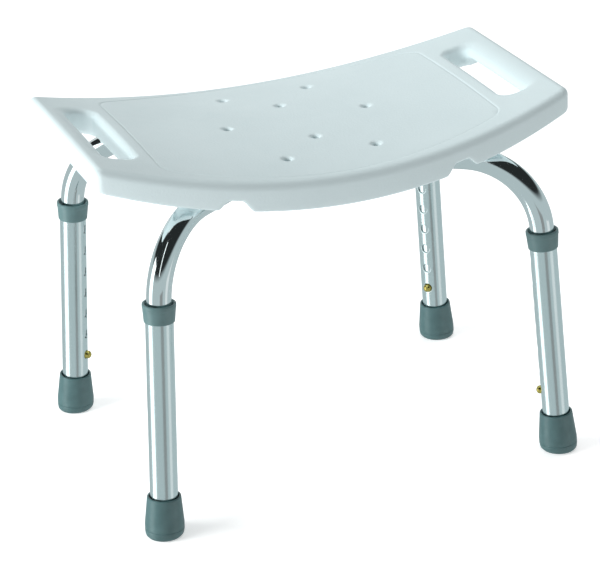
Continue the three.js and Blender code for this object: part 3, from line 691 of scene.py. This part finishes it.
def make_seat():
    skin = Skin()

    def flat(numbers):
        return [(number, skin.points[number].xy) for number in numbers]

    def lifted(places, height):
        return skin.ring([(x, y, height(x, y)) for x, y in places])

    rim = outline(SEAT_HALF_LENGTH, 0, SEAT_CORNER_RADIUS)

    def inset_ring(inset, height):
        return lifted([(x - inset * nx, y - inset * ny) for (x, y), (nx, ny) in rim], height)

    rings = []
    for sine, cosine in quarter_arc(9):
        inset, drop = SEAT_EDGE_RADIUS * (1 - sine), SEAT_EDGE_RADIUS * (1 - cosine)
        rings.append(inset_ring(inset, lambda x, y: top_surface(x, y) - drop))
    for share in (0.3, 0.65):
        rings.append(inset_ring(0, lambda x, y: (
            (1 - share) * (top_height(x, y) - SEAT_EDGE_RADIUS)
            + share * (lip_height(x, y) + SKIRT_EDGE_RADIUS)
        )))
    for sine, cosine in quarter_arc(5):
        inset, lift = SKIRT_EDGE_RADIUS * (1 - cosine), SKIRT_EDGE_RADIUS * (1 - sine)
        rings.append(inset_ring(inset, lambda x, y: lip_height(x, y) + lift))
    skin.bands(rings)
    top_loops, under_loops = [flat(rings[0])], [flat(rings[-1])]

    for side in (1, -1):
        rings = []
        for sine, cosine in quarter_arc(8):
            grown = 1 - sine
            drop = SLOT_FLARE_DEPTH * (1 - cosine)
            loop = slot_loop(side, SLOT_FLARE * grown, SLOT_BAR_FLARE * grown, SLOT_FLARE * grown)
            rings.append(lifted(loop, lambda x, y: top_surface(x, y) - drop))
        for share in (0.3, 0.65):
            rings.append(lifted(slot_loop(side, 0, 0, 0), lambda x, y: (
                (1 - share) * (top_surface(x, y) - SLOT_FLARE_DEPTH)
                + share * (under_surface(x, y) + SLOT_BOTTOM_FLARE_DEPTH)
            )))
        for sine, cosine in quarter_arc(5):
            narrow = SLOT_BOTTOM_FLARE * (1 - cosine)
            wide = SLOT_BAR_BOTTOM_FLARE * (1 - cosine)
            lift = SLOT_BOTTOM_FLARE_DEPTH * (1 - sine)
            loop = slot_loop(side, narrow, wide, narrow)
            rings.append(lifted(loop, lambda x, y: under_surface(x, y) + lift))
        skin.bands(rings)
        top_loops.append(flat(rings[0]))
        under_loops.append(flat(rings[-1]))

    def lip_rings(x, y, radius):
        return [
            lifted(
                circle(x, y, radius + HOLE_LIP * (1 - cosine)),
                lambda a, b: under_surface(a, b) + HOLE_LIP * (1 - sine),
            )
            for sine, cosine in quarter_arc(4)
        ]

    for x, y in DRAIN_PLACES:
        rings = []
        for sine, cosine in quarter_arc(7):
            drop = DRAIN_DISH_DEPTH * (1 - cosine)
            loop = circle(x, y, DRAIN_RADIUS + DRAIN_DISH * (1 - sine))
            rings.append(lifted(loop, lambda a, b: top_surface(a, b) - drop))
        rings += lip_rings(x, y, DRAIN_RADIUS)
        skin.bands(rings)
        top_loops.append(flat(rings[0]))
        under_loops.append(flat(rings[-1]))

    x, y = VENT_PLACE
    rings = lip_rings(x, y, VENT_RADIUS)
    rings.insert(0, lifted(circle(x, y, VENT_RADIUS), lambda a, b: under_surface(a, b) + VENT_DEPTH))
    rings.insert(0, [skin.add((x, y, under_surface(x, y) + VENT_DEPTH))])
    skin.bands(rings)
    under_loops.append(flat(rings[-1]))

    skin.sheet(top_loops, top_inner_places(), lambda a, b: skin.add((a, b, top_surface(a, b))))
    skin.sheet(under_loops, under_inner_places(), lambda a, b: skin.add((a, b, under_surface(a, b))))
    return skin


# ---- frame tubes ----

def frame_route(turned_by, dips):
    """The tube's route from its left foot end, with its run from the middle to each screw."""
    turn = math.pi / 2 - SPLAY
    bend_start = FOOT_REACH - math.tan(SPLAY) * RUN_HEIGHT - BEND_RADIUS * math.tan(turn / 2)
    bend_end = RUN_HEIGHT - BEND_RADIUS * (1 - math.cos(turn))
    end = FRAME_END * math.cos(SPLAY)
    straight = (bend_end - end) / math.cos(SPLAY)
    bend = (BEND_RADIUS * turn, -turn)
    to_screw = SCREW_PLACE
    if dips:
        drop = 2 * FRAME_RADIUS + CROSSING_GAP
        span = DIP_OUTER - DIP_INNER
        slope = 2 * math.atan(drop / span)
        arc = (span * span + drop * drop) / (4 * drop) * slope
        level = (bend_start - DIP_OUTER, 0)
        down, up = (arc, -slope), (arc, slope)
        run = [level, down, up, (2 * DIP_INNER, 0), up, down, level]
        to_screw += 2 * arc - span
    else:
        run = [(2 * bend_start, 0)]
    start = (-FOOT_REACH + math.tan(SPLAY) * end, end)
    matrix = Matrix.Rotation(turned_by, 4, "Z")
    route = Route(matrix, start, turn, [(straight, 0), bend, *run, bend, (straight, 0)])
    return route, to_screw


def make_frame_tube(turned_by, dips):
    route, to_screw = frame_route(turned_by, dips)
    middle = route.length / 2
    holes = []
    for side in (-1, 0, 1):
        radius = SCREW_RADIUS if side else BOLT_RADIUS
        for angle in (math.pi, math.tau):
            holes.append((middle + side * to_screw, angle, radius + HOLE_PLAY))
    from_end = BUTTON_PLACE - FRAME_END
    holes += [(run, math.pi, HOLE_RADIUS) for run in (from_end, route.length - from_end)]
    return tube(route, FRAME_RADIUS, FRAME_WALL, holes)


# ---- fasteners ----

def upright(x=0.0, y=0.0):
    return Matrix.Translation((x, y, 0))


def thread(radius, start, end):
    """Profile points of a screw thread's ridges from one height to another."""
    depth = THREAD_PITCH * 0.45
    heights = spaced(start, end, THREAD_PITCH / 2)
    return [(radius - depth * (n % 2), height) for n, height in enumerate(heights)]


def make_washer(matrix, shank, head, top):
    """A washer for a fastener's shank and head radius."""
    bore, outer, low = shank + HOLE_PLAY, head + 1, top - WASHER_THICKNESS
    soft = 0.25
    corners = [(bore, low), (outer, low), (outer, top), (bore, top)]
    return turned(rounded([(*corner, soft) for corner in corners]), matrix, closed=True)


def make_seat_screw(matrix):
    under = SCREW_HEAD_TOP
    tip = RUN_HEIGHT + FRAME_RADIUS + SCREW_DEPTH_IN_SEAT
    bottom = under - SCREW_HEAD_HEIGHT
    head = rounded([
        (0, bottom, 0),
        (0.72 * SCREW_HEAD_RADIUS, bottom, 1.6),
        (SCREW_HEAD_RADIUS, under - 0.5 * SCREW_HEAD_HEIGHT, 0.8),
        (SCREW_HEAD_RADIUS, under, 0.2),
        (SCREW_RADIUS, under, 0.2),
        (SCREW_RADIUS, under + 2, 0),
    ], closed=False)
    profile = head + thread(SCREW_RADIUS, under + 2.4, tip - 4) + [(0.6, tip - 0.4), (0, tip)]
    return turned(profile, matrix, sides=48)


def make_cross_cutter(matrix):
    """The cutter for a screw head's cross recess: two tapered blades."""
    skin = Skin()
    mouth = SCREW_HEAD_TOP - SCREW_HEAD_HEIGHT - 0.5
    depth = mouth + 2.4
    for turn in (0, math.pi / 2):
        blade = matrix @ Matrix.Rotation(turn + 0.4, 4, "Z")
        rings = []
        for height, length, width in ((mouth, 2.6, 0.55), (depth, 1.3, 0.4)):
            corners = [(length, width), (-length, width), (-length, -width), (length, -width)]
            rings.append(skin.ring([blade @ Vector((a, b, height)) for a, b in corners]))
        skin.band(*rings)
        skin.faces += [tuple(rings[0]), tuple(rings[1])]
    return skin


def make_cross_bolt():
    top = RUN_HEIGHT + FRAME_RADIUS + GAP
    tip = CROSSING_BOTTOM - 2 * GAP - WASHER_THICKNESS - NUT_HEIGHT - 2
    shank = thread(BOLT_RADIUS - 0.05, tip + 0.8, CROSSING_BOTTOM - WASHER_THICKNESS - 1)
    head = rounded([
        (BOLT_RADIUS - 0.05, CROSSING_BOTTOM, 0),
        (BOLT_RADIUS, top, 0.2),
        (BOLT_HEAD_RADIUS, top, 0.2),
        (BOLT_HEAD_RADIUS, top + 0.4 * BOLT_HEAD_HEIGHT, 0.5),
        (0.6 * BOLT_HEAD_RADIUS, top + BOLT_HEAD_HEIGHT, 1.5),
        (0, top + BOLT_HEAD_HEIGHT, 0),
    ], closed=False)
    return turned([(0, tip), (BOLT_RADIUS - 0.6, tip)] + shank + head, upright(), sides=48)


def make_cross_nut():
    """A hexagonal nut with chamfered corners, which point along Y."""
    skin = Skin()
    top = CROSSING_BOTTOM - 2 * GAP - WASHER_THICKNESS
    bottom = top - NUT_HEIGHT
    bore = BOLT_RADIUS + GAP
    flat = NUT_RADIUS * math.cos(math.pi / 6)
    face = flat - 0.15
    profiles = []
    for n in range(TURNED_SIDES):
        angle = math.tau * n / TURNED_SIDES
        side = flat / math.cos((angle + math.pi / 6) % (math.pi / 3) - math.pi / 6)
        chamfer = 0.58 * (side - face)
        profile = [
            (bore, bottom + 0.4), (bore + 0.4, bottom), (face, bottom), (side, bottom + chamfer),
            (side, top - chamfer), (face, top), (bore + 0.4, top), (bore, top - 0.4),
        ]
        across, along = math.cos(angle), math.sin(angle)
        profiles.append([(radius * across, radius * along, height) for radius, height in profile])
    rings = [skin.ring(level) for level in zip(*profiles)]
    skin.bands([*rings, rings[0]])
    return skin


# ---- leg pieces ----

def leg_matrix(sx, sy):
    inwards = math.atan2(-sy * FOOT_Y, -sx * FOOT_X)
    place = Matrix.Translation((sx * FOOT_X, sy * FOOT_Y, 0))
    return place @ Matrix.Rotation(inwards, 4, "Z") @ Matrix.Rotation(SPLAY, 4, "Y")


def make_leg_tube(matrix):
    route = Route(matrix, (0, LEG_BOTTOM), math.pi / 2, [(LEG_TOP - LEG_BOTTOM, 0)])
    first = BUTTON_PLACE - LEG_BOTTOM
    holes = [(first + n * HOLE_PITCH, math.pi, HOLE_RADIUS) for n in range(HOLE_COUNT)]
    return tube(route, LEG_RADIUS, LEG_WALL, holes, LEG_DIMPLE)


def make_collar(matrix):
    sleeve = LEG_RADIUS + GAP
    ledge = LEG_TOP + GAP
    profile = rounded([
        (sleeve, COLLAR_BOTTOM, 0.4),
        (COLLAR_RADIUS - 1.5, COLLAR_BOTTOM, 1.2),
        (COLLAR_RADIUS - 0.35, COLLAR_TOP - 5, 0.5),
        (COLLAR_RADIUS, COLLAR_TOP - 4.4, 0.4),
        (COLLAR_RADIUS, COLLAR_TOP, 1.1),
        (COLLAR_RADIUS - 2.1, COLLAR_TOP, 0.7),
        (FRAME_RADIUS + 0.6, ledge + 1.8, 0.8),
        (FRAME_RADIUS + 0.6, ledge, 0.2),
        (sleeve, ledge, 0.2),
    ])
    return turned(profile, matrix, closed=True)


def make_foot(matrix):
    """A rubber foot. Its lower part is sheared so that its tread lies flat on the floor."""
    tread = 1.4
    corners = [(0, tread, 0)]
    for inner, outer in ((4.5, 7.5), (10, 13)):
        for radius, height in ((inner, tread), (inner + 0.3, 0), (outer, 0), (outer + 0.3, tread)):
            corners.append((radius, height, 0.3))
    corners += [
        (15, tread, 0.3),
        (15.3, 0, 0.3),
        (FOOT_RADIUS - 2.6, 0, 0.8),
        (FOOT_RADIUS - 0.6, 2.4, 2),
        (FOOT_RADIUS, 6, 1),
        (FOOT_RADIUS, 8.2, 0.2),
        (FOOT_RADIUS - 0.35, 8.6, 0.2),
        (FOOT_RADIUS, 9, 0.2),
        (FOOT_RADIUS, 13.5, 8),
        (FOOT_MOUTH_RADIUS + 0.2, FOOT_TOP - 2, 1),
        (FOOT_MOUTH_RADIUS, FOOT_TOP, 0.9),
        (FOOT_MOUTH_RADIUS - 2, FOOT_TOP, 0.5),
        (LEG_RADIUS + GAP, FOOT_TOP - 4, 0.5),
        (LEG_RADIUS + GAP, FOOT_FLOOR, 0.3),
        (0, FOOT_FLOOR, 0),
    ]

    def settled(point, height):
        share = 1 - eased((height - 3) / 9)
        return Vector((point.x, point.y, point.z + share * (height - point.z)))

    return turned(rounded(corners, closed=False), matrix, shift=settled)


def make_foot_disc(matrix):
    low = FOOT_FLOOR + GAP
    high = low + DISC_THICKNESS
    edge = [(DISC_RADIUS, low, 0.4), (DISC_RADIUS, high, 0.4)]
    return turned(rounded([(0, low, 0), *edge, (0, high, 0)], closed=False), matrix)


def make_button(matrix):
    axis = matrix @ Matrix.Translation((0, 0, BUTTON_PLACE)) @ Matrix.Rotation(math.pi / 2, 4, "Y")
    profile = rounded([
        (0, BUTTON_FLANGE_BACK, 0),
        (BUTTON_FLANGE_RADIUS, BUTTON_FLANGE_BACK, 0.3),
        (BUTTON_FLANGE_RADIUS, BUTTON_FLANGE_FRONT, 0.3),
        (BUTTON_RADIUS, BUTTON_FLANGE_FRONT, 0.2),
        (BUTTON_RADIUS, BUTTON_TIP - BUTTON_DOME - 0.4, 0),
    ], closed=False)
    for sine, cosine in quarter_arc(8):
        profile.append((BUTTON_RADIUS * cosine, BUTTON_TIP - BUTTON_DOME * (1 - sine)))
    profile[-1] = (0, BUTTON_TIP)
    return turned(profile, axis, sides=48)


def make_button_spring(matrix):
    arm = BUTTON_FLANGE_BACK - GAP - SPRING_THICKNESS / 2
    wall = -(FRAME_RADIUS - FRAME_WALL - 1.1 - SPRING_THICKNESS / 2)
    length = 41
    bend = (math.pi * (arm - wall) / 2, math.pi)
    route = Route(matrix, (arm, BUTTON_PLACE - 7), math.pi / 2, [(length, 0), bend, (length, 0)])
    return strip(route, SPRING_WIDTH, SPRING_THICKNESS)


# ---- materials ----

class Look:
    """A material's nodes: a Principled shader and the patterns that drive it."""

    def __init__(self, name, color, roughness, metallic=0.0, coordinate=None):
        self.material = bpy.data.materials.new(name)
        self.material.use_nodes = True
        self.tree = self.material.node_tree
        self.shader = self.tree.nodes["Principled BSDF"]
        self.shader.inputs["Base Color"].default_value = (*color, 1)
        self.shader.inputs["Roughness"].default_value = roughness
        self.shader.inputs["Metallic"].default_value = metallic
        if coordinate:
            self.place = self.node("ShaderNodeAttribute", attribute_name=coordinate).outputs["Vector"]
        else:
            self.place = self.node("ShaderNodeTexCoord").outputs["Object"]
        self.normal = None

    def node(self, kind, **settings):
        made = self.tree.nodes.new(kind)
        for key, value in settings.items():
            setattr(made, key, value)
        return made

    def link(self, output, node_input):
        self.tree.links.new(output, node_input)

    def noise(self, size, detail, stretch=(1, 1, 1)):
        """Noise whose features are about a size across, in millimetres."""
        pattern = self.node("ShaderNodeTexNoise")
        scaled = self.node("ShaderNodeVectorMath", operation="MULTIPLY")
        self.link(self.place, scaled.inputs[0])
        scaled.inputs[1].default_value = stretch
        self.link(scaled.outputs[0], pattern.inputs["Vector"])
        pattern.inputs["Scale"].default_value = 1 / (size * MM)
        pattern.inputs["Detail"].default_value = detail
        return pattern.outputs["Fac"]

    def mapped(self, value, low, high, start=0.3, end=0.7):
        spread = self.node("ShaderNodeMapRange")
        self.link(value, spread.inputs["Value"])
        spread.inputs["From Min"].default_value = start
        spread.inputs["From Max"].default_value = end
        spread.inputs["To Min"].default_value = low
        spread.inputs["To Max"].default_value = high
        return spread.outputs["Result"]

    def vary_roughness(self, value, low, high):
        self.link(self.mapped(value, low, high), self.shader.inputs["Roughness"])

    def vary_color(self, value, dark, light):
        mix = self.node("ShaderNodeMix", data_type="RGBA")
        self.link(self.mapped(value, 0, 1), mix.inputs["Factor"])
        mix.inputs["A"].default_value = (*dark, 1)
        mix.inputs["B"].default_value = (*light, 1)
        self.link(mix.outputs["Result"], self.shader.inputs["Base Color"])

    def bump(self, height, depth):
        """A relief of a depth in millimetres, over any relief added before."""
        relief = self.node("ShaderNodeBump")
        relief.inputs["Distance"].default_value = depth * MM
        self.link(height, relief.inputs["Height"])
        if self.normal:
            self.link(self.normal, relief.inputs["Normal"])
        self.normal = relief.outputs["Normal"]
        self.link(self.normal, self.shader.inputs["Normal"])


def seat_plastic():
    look = Look("white polyethylene", (0.65, 0.765, 0.785), 0.42)
    look.vary_color(look.noise(90, 3), (0.64, 0.755, 0.775), (0.67, 0.785, 0.805))
    look.vary_roughness(look.noise(14, 4), 0.36, 0.48)
    look.bump(look.noise(2.4, 2), 0.18)
    look.bump(look.noise(0.7, 1), 0.02)
    return look.material


def drawn_metal(name, color, low, high, line):
    """Aluminium tube with faint lines along its length."""
    look = Look(name, color, low, 1.0, "lengthwise")
    lines = look.noise(line, 3, (0.02, 1, 1))
    look.vary_roughness(lines, low, high)
    look.bump(lines, 0.004)
    look.bump(look.noise(22, 1), 0.05)
    dark = tuple(0.96 * part for part in color)
    look.vary_color(look.noise(30, 4, (0.2, 1, 1)), dark, color)
    return look.material


def molded_grey(name, dark, light, low, high, grain):
    look = Look(name, dark, low)
    look.vary_color(look.noise(12, 4), dark, light)
    look.vary_roughness(look.noise(4, 3), low, high)
    look.bump(look.noise(grain, 2), 0.05)
    look.shader.inputs["Specular IOR Level"].default_value = 0.9
    return look.material


def plain_metal(name, dark, light, low, high):
    look = Look(name, dark, low, 1.0)
    look.vary_color(look.noise(3, 4), dark, light)
    look.vary_roughness(look.noise(1.5, 3), low, high)
    look.bump(look.noise(0.5, 2), 0.01)
    return look.material


MATERIALS = {
    "seat_plastic": seat_plastic(),
    "bright_tube": drawn_metal("polished aluminium", (0.83, 0.89, 0.90), 0.07, 0.11, 0.5),
    "satin_tube": drawn_metal("satin aluminium", (0.78, 0.87, 0.88), 0.17, 0.24, 0.35),
    "grey_plastic": molded_grey(
        "grey plastic", (0.075, 0.15, 0.155), (0.095, 0.18, 0.185), 0.30, 0.40, 0.8),
    "grey_rubber": molded_grey(
        "grey rubber", (0.045, 0.11, 0.115), (0.06, 0.135, 0.14), 0.34, 0.44, 0.6),
    "steel": plain_metal("zinc plated steel", (0.52, 0.54, 0.55), (0.62, 0.63, 0.63), 0.28, 0.42),
    "spring_steel": plain_metal("spring steel", (0.30, 0.31, 0.33), (0.40, 0.41, 0.43), 0.25, 0.38),
    "brass": plain_metal("brass", (0.60, 0.47, 0.11), (0.74, 0.60, 0.18), 0.14, 0.26),
}


# ---- assembly ----

def placed(name, data):
    """A new object in the scene."""
    made = bpy.data.objects.new(name, data)
    bpy.context.scene.collection.objects.link(made)
    return made


def add_piece(node, skin, slot, body):
    """A finished piece that stands for one CAD node."""
    name = "fine_" + node
    data = skin.mesh(name)
    data.materials.append(MATERIALS[slot])
    piece = placed(name, data)
    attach(piece, body)
    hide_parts(node)
    return piece


def carve(piece, cutter_skin):
    """Cuts a closed shape out of a piece."""
    cutter = placed("cutter", cutter_skin.mesh("cutter"))
    cut = piece.modifiers.new("cut", "BOOLEAN")
    cut.operation = "DIFFERENCE"
    cut.solver = "EXACT"
    cut.use_self = True
    cut.object = cutter
    bpy.context.view_layer.update()
    graph = bpy.context.evaluated_depsgraph_get()
    carved = bpy.data.meshes.new_from_object(piece.evaluated_get(graph))
    piece.modifiers.remove(cut)
    piece.data = carved
    bpy.data.objects.remove(cutter)


def corner_name(sx, sy):
    return ("front" if sy < 0 else "back") + "_" + ("left" if sx < 0 else "right")


def add_frame():
    add_piece("seat", make_seat(), "seat_plastic", "frame")
    add_piece("frame_tube_upper", make_frame_tube(DIAGONAL, False), "bright_tube", "frame")
    add_piece("frame_tube_lower", make_frame_tube(-DIAGONAL, True), "bright_tube", "frame")
    add_piece("cross_bolt", make_cross_bolt(), "steel", "frame")
    washer = make_washer(upright(), BOLT_RADIUS, BOLT_HEAD_RADIUS, CROSSING_BOTTOM - GAP)
    add_piece("cross_washer", washer, "steel", "frame")
    add_piece("cross_nut", make_cross_nut(), "steel", "frame")


def add_corner(sx, sy):
    corner = corner_name(sx, sy)
    matrix = upright(sx * SCREW_X, sy * SCREW_Y)
    screw = add_piece(f"seat_screw_{corner}", make_seat_screw(matrix), "steel", "frame")
    carve(screw, make_cross_cutter(matrix))
    washer_top = RUN_HEIGHT - FRAME_RADIUS - GAP
    washer = make_washer(matrix, SCREW_RADIUS, SCREW_HEAD_RADIUS, washer_top)
    add_piece(f"seat_washer_{corner}", washer, "steel", "frame")
    matrix = leg_matrix(sx, sy)
    leg = f"leg_{corner}"
    add_piece(f"leg_tube_{corner}", make_leg_tube(matrix), "satin_tube", leg)
    add_piece(f"collar_{corner}", make_collar(matrix), "grey_plastic", leg)
    add_piece(f"foot_{corner}", make_foot(matrix), "grey_rubber", leg)
    add_piece(f"foot_disc_{corner}", make_foot_disc(matrix), "steel", leg)
    add_piece(f"snap_button_{corner}", make_button(matrix), "brass", f"button_{corner}")
    add_piece(f"button_spring_{corner}", make_button_spring(matrix), "spring_steel", "frame")


add_frame()
for side_x, side_y in CORNERS:
    add_corner(side_x, side_y)


# ---- stage, light and camera ----

# Sizes and places from here on are in metres.
SEAT_MIDDLE = (0, 0, 0.3)
FLOOR_SIDE = 40
FLOOR_GLOW = 0.42
ROOM_GLOW = 0.34
DOME_RADIUS = 6
DOME_COLOR = (0.84, 0.98, 1, 1)
DOME_GLOWS = (0.56, 0.02)  # emission below and above
DOME_HEIGHTS = (1.2, 2.2)  # where it starts and ends to change
PANEL_COLOR = (0.95, 1, 1)
CAMERA_PLACE = (-0.8551, -2.3503, 1.2535)
CAMERA_AZIMUTH = math.radians(19.876)
CAMERA_ELEVATION = math.radians(23.429)
CAMERA_ROLL = math.radians(-2.671)
CAMERA_LENS = 151.76

# Name, place, width, height and power of each lamp
LAMPS = [
    ("key", (-2.3, 0.2, 1.1), 1.8, 0.6, 67),
    ("overhead", (1.2, 0.8, 2.0), 2.2, 1.8, 23),
]

# Name, place, target, width, height and strength of each panel that only reflections see
PANELS = [
    ("left_panel", (-2.4, 0.1, -0.2), (0, 0, -0.2), 1.3, 3.2, 1.9),
    ("dark_front", (-0.1, -3.2, -1.3), (-0.1, 0, -1.3), 1.3, 2.4, 0.3),
    ("right_front_panel", (2.0, -2.0, -1.1), (0, 0, -1.1), 1.2, 2.0, 0.8),
    ("overhead_panel", (0.2, 0.6, 2.6), SEAT_MIDDLE, 2.8, 2.2, 1.3),
    ("strip_panel", (-1.3, -2.0, 1.9), SEAT_MIDDLE, 0.2, 2.0, 1.8),
    ("back_panel", (0.6, 3.2, 1.2), SEAT_MIDDLE, 4.5, 2.2, 0.7),
]


def emitter(name, color, strength):
    """A material that only glows."""
    material = bpy.data.materials.new(name)
    material.use_nodes = True
    tree = material.node_tree
    tree.nodes.clear()
    glow = tree.nodes.new("ShaderNodeEmission")
    glow.inputs["Color"].default_value = (*color, 1)
    glow.inputs["Strength"].default_value = strength
    output = tree.nodes.new("ShaderNodeOutputMaterial")
    tree.links.new(glow.outputs[0], output.inputs[0])
    material.cycles.emission_sampling = "NONE"
    return material


def plane(name, corners, material):
    data = bpy.data.meshes.new(name)
    data.from_pydata(corners, [], [tuple(range(len(corners)))])
    data.materials.append(material)
    made = placed(name, data)
    return made


def rectangle(width, height):
    return [Vector((sx * width / 2, sy * height / 2, 0)) for sx, sy in CORNERS]


def seen_only_in_reflections(made):
    made.visible_camera = False
    made.visible_diffuse = False
    made.visible_shadow = False
    made.visible_transmission = False


def add_floor():
    look = Look("pale floor", (0.92, 0.92, 0.92), 0.9)
    look.vary_color(look.noise(400, 2), (0.915, 0.915, 0.915), (0.925, 0.925, 0.925))
    look.shader.inputs["Emission Color"].default_value = (1, 1, 1, 1)
    look.shader.inputs["Emission Strength"].default_value = FLOOR_GLOW
    floor = plane("floor", rectangle(FLOOR_SIDE, FLOOR_SIDE), look.material)
    floor.visible_glossy = False


def add_surroundings():
    """A dome that only reflections see: pale below, like a white floor, and dark above."""
    look = Look("studio", (0, 0, 0), 1.0)
    parts = look.node("ShaderNodeSeparateXYZ")
    look.link(look.place, parts.inputs[0])
    glow = look.mapped(parts.outputs["Z"], *DOME_GLOWS, *DOME_HEIGHTS)
    look.link(glow, look.shader.inputs["Emission Strength"])
    look.shader.inputs["Emission Color"].default_value = DOME_COLOR
    look.material.cycles.emission_sampling = "NONE"
    data = bpy.data.meshes.new("studio_dome")
    shape = bmesh.new()
    bmesh.ops.create_uvsphere(shape, u_segments=48, v_segments=24, radius=DOME_RADIUS)
    shape.to_mesh(data)
    shape.free()
    data.materials.append(look.material)
    dome = placed("studio_dome", data)
    seen_only_in_reflections(dome)


def card(name, place, target, width, height, strength):
    """A light panel that faces a target and shows only in reflections."""
    centre, aim = Vector(place), Vector(target)
    turn = (aim - centre).to_track_quat("-Z", "Y")
    corners = [centre + turn @ corner for corner in rectangle(width, height)]
    seen_only_in_reflections(plane(name, corners, emitter(name, PANEL_COLOR, strength)))


def area_light(name, place, width, height, power):
    """A lamp that faces the seat and lights it without showing in reflections."""
    data = bpy.data.lights.new(name, "AREA")
    data.shape = "RECTANGLE"
    data.size = width
    data.size_y = height
    data.energy = power
    lamp = placed(name, data)
    lamp.location = place
    ahead = Vector(SEAT_MIDDLE) - Vector(place)
    lamp.rotation_euler = ahead.to_track_quat("-Z", "Y").to_euler()
    lamp.visible_glossy = False


def add_world():
    world = bpy.data.worlds.new("pale room")
    world.use_nodes = True
    background = world.node_tree.nodes["Background"]
    background.inputs["Color"].default_value = (1, 1, 1, 1)
    background.inputs["Strength"].default_value = ROOM_GLOW
    bpy.context.scene.world = world


def add_camera():
    """A camera at the photo's viewing angle, turned a little about its own axis."""
    data = bpy.data.cameras.new("camera")
    data.sensor_width = 36
    data.lens = CAMERA_LENS
    data.clip_end = 100
    camera = placed("camera", data)
    turn = Matrix.Rotation(-CAMERA_AZIMUTH, 4, "Z")
    turn @= Matrix.Rotation(math.pi / 2 - CAMERA_ELEVATION, 4, "X")
    turn @= Matrix.Rotation(CAMERA_ROLL, 4, "Z")
    camera.matrix_world = Matrix.Translation(CAMERA_PLACE) @ turn
    bpy.context.scene.camera = camera


add_floor()
add_surroundings()
add_world()
for lamp in LAMPS:
    area_light(*lamp)
for panel in PANELS:
    card(*panel)
add_camera()
bpy.context.scene.view_settings.view_transform = "Standard"
